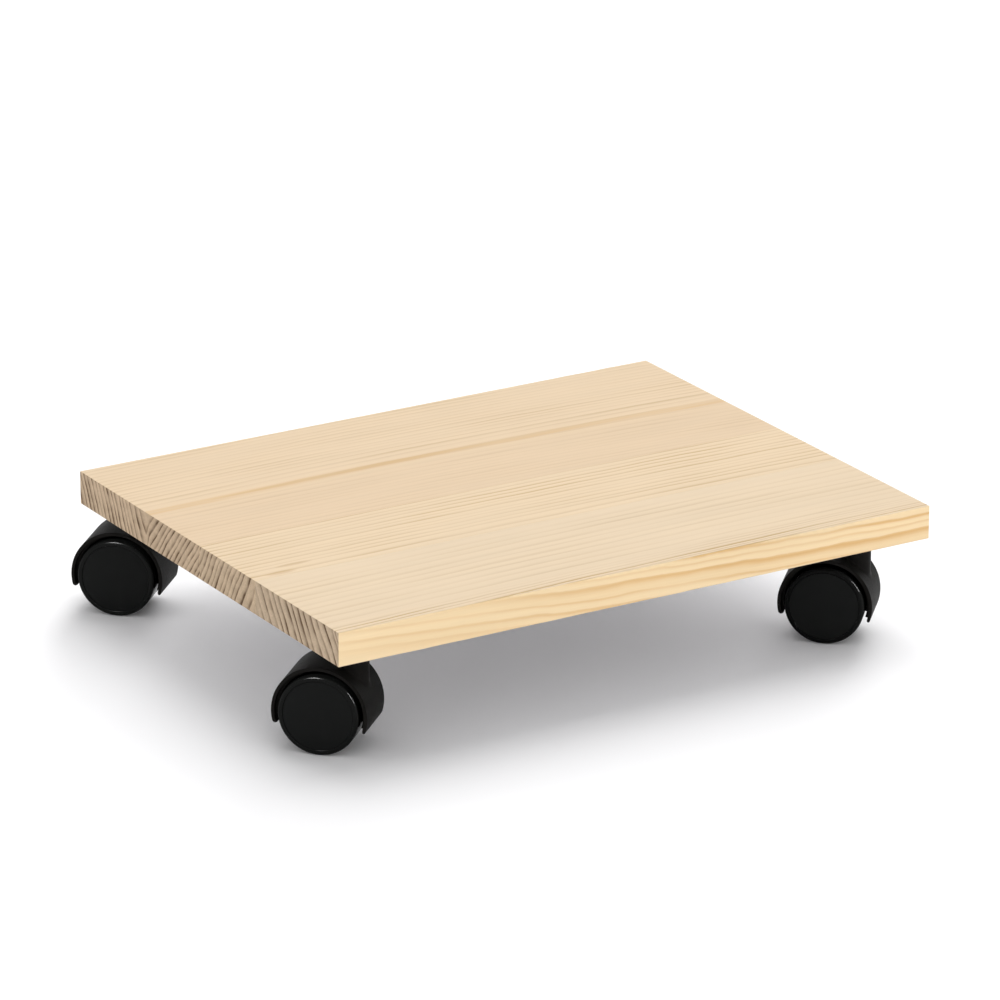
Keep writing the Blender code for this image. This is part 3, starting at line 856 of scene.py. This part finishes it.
def hood_mesh():
    wall = slab("hood", wall_outline, HOOD_HALF_WIDTH, HOOD_EDGE, WALL_DIVISIONS, in_yz)
    web = slab("web", web_outline, WEB_HALF, WEB_EDGE, 1, in_yz)
    well = (WELL_RADIUS, WEB_HALF, 2 * HOOD_HALF_WIDTH)
    axle_hole = (AXLE_RADIUS + HOLE_GAP, -2 * WEB_HALF, 2 * WEB_HALF)
    steps = [
        ("DIFFERENCE", pocket(1)),
        ("DIFFERENCE", pocket(-1)),
        ("UNION", web),
        ("UNION", boss_mesh()),
        ("DIFFERENCE", on_axle(plug("well_a", *well), 1)),
        ("DIFFERENCE", on_axle(plug("well_b", *well), -1)),
        ("DIFFERENCE", plug("bore", BORE_RADIUS, BORE_BOTTOM, BOSS_TOP + MM, SMALL_FACETS)),
        ("DIFFERENCE", on_axle(plug("axle_hole", *axle_hole, SMALL_FACETS))),
    ]
    return combined("hood", wall, steps)


def wheel_mesh():
    """A wheel turned about Z: hub, disc and rounded tread, its face recessed for the cover."""
    bore = AXLE_RADIUS + BORE_GAP
    return turned(
        "wheel",
        rounded(
            [
                (bore, HUB_INNER, 0.0),
                (HUB_RADIUS, HUB_INNER, WHEEL_EDGE),
                (HUB_RADIUS, DISC_INNER, WHEEL_EDGE),
                (WHEEL_RADIUS - TREAD_THICKNESS, DISC_INNER, WHEEL_EDGE),
                (WHEEL_RADIUS - TREAD_THICKNESS, WHEEL_INNER, WHEEL_EDGE),
                (WHEEL_RADIUS, WHEEL_INNER, 2 * WHEEL_EDGE),
                (WHEEL_RADIUS, WHEEL_OUTER, TREAD_ROUND),
                (RECESS_RADIUS, WHEEL_OUTER, WHEEL_EDGE / 2),
                (RECESS_RADIUS, DISC_OUTER, 0.0),
                (bore, DISC_OUTER, 0.0),
            ]
        ),
    )


def cover_mesh():
    """The disc in a wheel's face, its rim rounded so that a fine groove shows around it."""
    half = [
        (0.0, COVER_INNER, 0.0),
        (COVER_RADIUS, COVER_INNER, 0.0),
        (COVER_RADIUS, COVER_OUTER, COVER_EDGE),
        (0.0, COVER_OUTER, 0.0),
    ]
    return turned("wheel_cover", rounded(half))


def screw_places():
    """The screws' places about the swivel axis, read from the front left caster."""
    places = []
    for number in SCREW_NUMBERS:
        low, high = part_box(f"front_left_screw_{number}")
        places.append((low.xy + high.xy) / 2 - SWIVEL_AT.xy)
    return places


def plate_outline(inset):
    reach = PLATE_SIDE / 2 - inset
    corner = PLATE_CORNER - inset
    return rounded([(x * reach, y * reach, corner) for x, y in SQUARE], 2 * ROUND_STEPS)


def plate_mesh():
    """A pressed steel plate with a rivet hole and four countersunk screw holes."""
    middle = (PLATE_TOP + PLATE_BOTTOM) / 2
    blank = slab("plate", plate_outline, (PLATE_TOP - PLATE_BOTTOM) / 2, PLATE_EDGE, 1, in_xy)
    blank.transform(Matrix.Translation((0, 0, middle)))
    below, above = PLATE_BOTTOM - HOLE_GAP, PLATE_TOP + HOLE_GAP
    sink = [
        (0.0, below),
        (SCREW_HEAD + HOLE_GAP, below),
        (SCREW_HEAD + HOLE_GAP, PLATE_BOTTOM),
        (SCREW_RADIUS + HOLE_GAP, PLATE_BOTTOM + SCREW_CONE),
        (SCREW_RADIUS + HOLE_GAP, above),
        (0.0, above),
    ]
    rivet = plug("rivet", RIVET_RADIUS + HOLE_GAP, below, above, SMALL_FACETS)
    steps = [("DIFFERENCE", rivet)]
    for place in screw_places():
        cutter = turned("sink", sink, SMALL_FACETS)
        cutter.transform(Matrix.Translation((*place, 0)))
        steps.append(("DIFFERENCE", cutter))
    return combined("plate", blank, steps)


def cross_bar(angle):
    """One tapered bar of a cross recess."""
    levels = (
        (1.0, PLATE_BOTTOM - CROSS_HALF),
        (1.0, PLATE_BOTTOM),
        (CROSS_TAPER, PLATE_BOTTOM + CROSS_DEPTH),
    )
    loops = []
    for share, z in levels:
        reach = CROSS_REACH * share
        half = CROSS_HALF * (CROSS_THINNEST + (1 - CROSS_THINNEST) * share)
        loops.append([(x * reach, y * half, z) for x, y in SQUARE])
    mesh = skin("cross", loops)
    mesh.transform(Matrix.Rotation(angle, 4, "Z"))
    return mesh


def screw_mesh():
    """A countersunk wood screw with a cross recess."""
    body = turned(
        "screw",
        [
            (0.0, PLATE_BOTTOM),
            (SCREW_HEAD - SCREW_RIM, PLATE_BOTTOM),
            (SCREW_HEAD, PLATE_BOTTOM + SCREW_RIM),
            (SCREW_RADIUS, PLATE_BOTTOM + SCREW_CONE),
            (SCREW_RADIUS, SCREW_END),
            (0.0, SCREW_TIP),
        ],
        SMALL_FACETS,
    )
    steps = [("DIFFERENCE", cross_bar(angle)) for angle in (0.0, math.pi / 2)]
    return combined("screw", body, steps)


def stem_mesh():
    return turned(
        "stem",
        [
            (0.0, PLATE_TOP),
            (RIVET_RADIUS, PLATE_TOP),
            *rounded(
                [
                    (RIVET_RADIUS, COLLAR_TOP, 0.0),
                    (COLLAR_RADIUS, COLLAR_TOP, TURNED_EDGE),
                    (COLLAR_RADIUS, COLLAR_BOTTOM, TURNED_EDGE),
                    (STEM_RADIUS, COLLAR_BOTTOM, 0.0),
                    (STEM_RADIUS, GROOVE_TOP, 0.0),
                    (GROOVE_RADIUS, GROOVE_TOP, 0.0),
                    (GROOVE_RADIUS, GROOVE_BOTTOM, 0.0),
                    (STEM_RADIUS, GROOVE_BOTTOM, 0.0),
                    (STEM_RADIUS, STEM_BOTTOM, STEM_TIP_EDGE),
                    (0.0, STEM_BOTTOM, 0.0),
                ]
            ),
        ],
        SMALL_FACETS,
    )


def sleeve_mesh():
    return turned(
        "sleeve",
        rounded(
            [
                (SLEEVE_INNER, SLEEVE_TOP, TURNED_EDGE),
                (SLEEVE_FLANGE, SLEEVE_TOP, TURNED_EDGE),
                (SLEEVE_FLANGE, SLEEVE_UNDER_FLANGE, TURNED_EDGE),
                (SLEEVE_OUTER, SLEEVE_UNDER_FLANGE, 0.0),
                (SLEEVE_OUTER, SLEEVE_BOTTOM, 0.0),
                (SLEEVE_INNER, SLEEVE_BOTTOM, 0.0),
            ]
        ),
        SMALL_FACETS,
    )


def axle_mesh():
    return turned(
        "axle",
        [
            (0.0, -AXLE_END),
            (AXLE_RADIUS - AXLE_BEVEL, -AXLE_END),
            (AXLE_RADIUS, AXLE_BEVEL - AXLE_END),
            (AXLE_RADIUS, AXLE_END - AXLE_BEVEL),
            (AXLE_RADIUS - AXLE_BEVEL, AXLE_END),
            (0.0, AXLE_END),
        ],
        SMALL_FACETS,
    )


# ---------------------------------------------------------------------------
# Assembly
# ---------------------------------------------------------------------------


def put(name, mesh, look, matrix, body, node):
    """A piece placed by matrix that rides on body and stands for node; look is (slot, material)."""
    slot, material = look
    item = added(name, mesh)
    if not mesh.materials:
        mesh.materials.append(material)
    item.matrix_world = matrix
    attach(item, body)
    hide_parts(node)
    return item


def caster_matrices(corner):
    """Where a caster's fixed half, turning half and axle line stand."""
    swivel = Vector(JOINTS[f"{corner}_swivel"]["pos_m"])
    axle = Vector(JOINTS[f"{corner}_wheel_a_spin"]["axis"])
    fixed = Matrix.Translation((swivel.x, swivel.y, UNDERSIDE))
    turning = fixed @ Matrix.Rotation(math.atan2(axle.y, axle.x), 4, "Z")
    return fixed, turning, turning @ Matrix.Translation((0, TRAIL, AXLE_Z))


def caster_looks():
    """The (slot, material) of each kind of piece in a caster."""
    looks = {
        kind: (f"black_nylon_{kind}", black_nylon(f"{kind}_nylon", *surface))
        for kind, surface in BLACK_NYLON.items()
    }
    looks["plate"] = ("zinc_plate", bright_metal("zinc_plate", *PLATE_ZINC))
    looks["screw"] = ("zinc_screw", bright_metal("screw_plating", *SCREW_ZINC))
    steel = bright_metal("turned_steel", *TURNED_STEEL)
    looks["stem"], looks["axle"] = ("steel_stem", steel), ("steel_axle", steel)
    looks["sleeve"] = ("acetal", acetal("acetal", *ACETAL))
    return looks


def build_casters():
    looks = caster_looks()
    ring_steel = bright_metal("spring_steel", *SPRING_STEEL)
    meshes = {
        "hood": hood_mesh(),
        "wheel": wheel_mesh(),
        "cover": cover_mesh(),
        "plate": plate_mesh(),
        "screw": screw_mesh(),
        "stem": stem_mesh(),
        "sleeve": sleeve_mesh(),
        "axle": axle_mesh(),
    }
    quarter = math.pi / 2

    def place(kind, name, matrix, body, node):
        return put(name, meshes[kind], looks[kind], matrix, body, node)

    for index, corner in enumerate(CORNERS):
        fixed, turning, line = caster_matrices(corner)
        fork = f"{corner}_fork"
        along = line @ Matrix.Rotation(quarter, 4, "Y")
        even_normals(place("hood", f"{corner}_hood_shell", turning, fork, f"{corner}_hood"))
        place("sleeve", f"{corner}_sleeve_turned", turning, fork, f"{corner}_swivel_sleeve")
        place("plate", f"{corner}_plate_pressed", fixed, "deck", f"{corner}_mounting_plate")
        place("stem", f"{corner}_stem_turned", fixed, "deck", f"{corner}_swivel_stem")
        place("axle", f"{corner}_axle_pin", along, fork, f"{corner}_axle")
        for number, spot in zip(SCREW_NUMBERS, screw_places()):
            spun = Matrix.Rotation(SCREW_TURN * number + CASTER_TURN * index, 4, "Z")
            at = fixed @ Matrix.Translation((*spot, 0)) @ spun
            node = f"{corner}_screw_{number}"
            place("screw", f"{node}_driven", at, "deck", node)
        for letter, side in zip(LETTERS, (-1, 1)):
            at = line @ Matrix.Rotation(side * quarter, 4, "Y")
            body = f"{corner}_roller_{letter}"
            place("wheel", f"{corner}_tyre_{letter}", at, body, f"{corner}_wheel_{letter}")
            place("cover", f"{corner}_face_{letter}", at, body, f"{corner}_wheel_cover_{letter}")
        ring = frame["nodes"][f"{corner}_snap_ring"]
        ring.data.materials.clear()
        ring.data.materials.append(ring_steel)


# ---------------------------------------------------------------------------
# Studio
# ---------------------------------------------------------------------------

FLOOR_REACH = 12.0
# The world's strength as a light and as what the camera sees
SKY = 0.71
BACKDROP = 1.0
# Each lamp's direction, strength and angle; the fill reaches only the wood, the next only the floor
KEY_FROM = Vector((0.39, 0.36, 1.0))
KEY_STRENGTH = 1.42
KEY_ANGLE = math.radians(48)
FILL_FROM = Vector((-0.35, -1.0, 0.2))
FILL_STRENGTH = 0.31
FILL_COLOUR = (1.0, 0.85, 0.58)
FILL_ANGLE = math.radians(20)
UNDER_FROM = Vector((0.707, 0.707, 0.488))
UNDER_STRENGTH = 1.2
UNDER_ANGLE = math.radians(26)
# Softboxes that only the wheels reflect, by name, place, aim and size
GLOSS_BOXES = (
    ("gloss_left", (-1.4, -0.45, 1.05), (-0.1, 0, -0.04), (0.45, 0.7)),
    ("gloss_right", (1.15, -1.1, 0.62), (0.1, 0, -0.04), (0.35, 0.7)),
)
GLOSS_POWER = 100.0
CAMERA_AIM = Vector((-0.0100, -0.0147, 0.0))
CAMERA_AZIMUTH = math.radians(-31.42)
CAMERA_ELEVATION = math.radians(20.11)
CAMERA_ROLL = math.radians(0.2)
CAMERA_DISTANCE = 3.1009
CAMERA_LENS = 217.2
CAMERA_CLIP = (0.1, 100.0)


def build_floor():
    bm = bmesh.new()
    bm.faces.new([bm.verts.new((x * FLOOR_REACH, y * FLOOR_REACH, FLOOR_Z)) for x, y in SQUARE])
    mesh = bpy.data.meshes.new("studio_floor")
    bm.to_mesh(mesh)
    bm.free()
    mesh.materials.append(studio_white("studio_white", *FLOOR_WHITE))
    added("studio_floor", mesh)


def sun(name, come_from, strength, angle):
    lamp = bpy.data.lights.new(name, "SUN")
    lamp.energy = strength
    lamp.angle = angle
    item = added(name, lamp)
    item.rotation_euler = come_from.to_track_quat("Z", "Y").to_euler()
    return item


def light_only(lamp, part_of_name):
    """Lets a lamp light only the pieces with this in their name."""
    lit = bpy.data.collections.new(f"{lamp.name}_lights")
    for item in bpy.context.scene.objects:
        if part_of_name in item.name:
            lit.objects.link(item)
    lamp.light_linking.receiver_collection = lit


def softbox(name, place, aim, size, power):
    lamp = bpy.data.lights.new(name, "AREA")
    lamp.shape = "RECTANGLE"
    lamp.size, lamp.size_y = size
    lamp.energy = power
    item = added(name, lamp)
    item.location = place
    item.rotation_euler = (Vector(aim) - Vector(place)).to_track_quat("-Z", "Y").to_euler()
    return item


def build_lights():
    world = bpy.data.worlds.new("studio")
    bpy.context.scene.world = world
    world.use_nodes = True
    tree = world.node_tree
    backdrop = tree.nodes["Background"]
    backdrop.inputs["Color"].default_value = (1.0, 1.0, 1.0, 1.0)
    strength = tree.nodes.new("ShaderNodeMapRange")
    strength.inputs["To Min"].default_value = SKY
    strength.inputs["To Max"].default_value = BACKDROP
    seen = tree.nodes.new("ShaderNodeLightPath")
    tree.links.new(seen.outputs["Is Camera Ray"], strength.inputs["Value"])
    tree.links.new(strength.outputs[0], backdrop.inputs["Strength"])
    sun("key", KEY_FROM, KEY_STRENGTH, KEY_ANGLE)
    fill = sun("fill", FILL_FROM, FILL_STRENGTH, FILL_ANGLE)
    fill.data.color = FILL_COLOUR
    light_only(fill, "_wood")
    light_only(sun("under_deck", UNDER_FROM, UNDER_STRENGTH, UNDER_ANGLE), "studio_floor")
    for box in GLOSS_BOXES:
        light_only(softbox(*box, GLOSS_POWER), "_tyre_")


def build_camera():
    camera = bpy.data.cameras.new("camera")
    camera.lens = CAMERA_LENS
    camera.clip_start, camera.clip_end = CAMERA_CLIP
    item = added("camera", camera)
    flat, up = math.cos(CAMERA_ELEVATION), math.sin(CAMERA_ELEVATION)
    back = Vector((math.sin(CAMERA_AZIMUTH) * flat, -math.cos(CAMERA_AZIMUTH) * flat, up))
    turn = (-back).to_track_quat("-Z", "Y").to_matrix().to_4x4()
    roll = Matrix.Rotation(CAMERA_ROLL, 4, "Z")
    item.matrix_world = Matrix.Translation(CAMERA_AIM + back * CAMERA_DISTANCE) @ turn @ roll
    bpy.context.scene.camera = item


build_staves()
build_casters()
build_floor()
build_lights()
build_camera()
bpy.context.scene.view_settings.view_transform = "Standard"
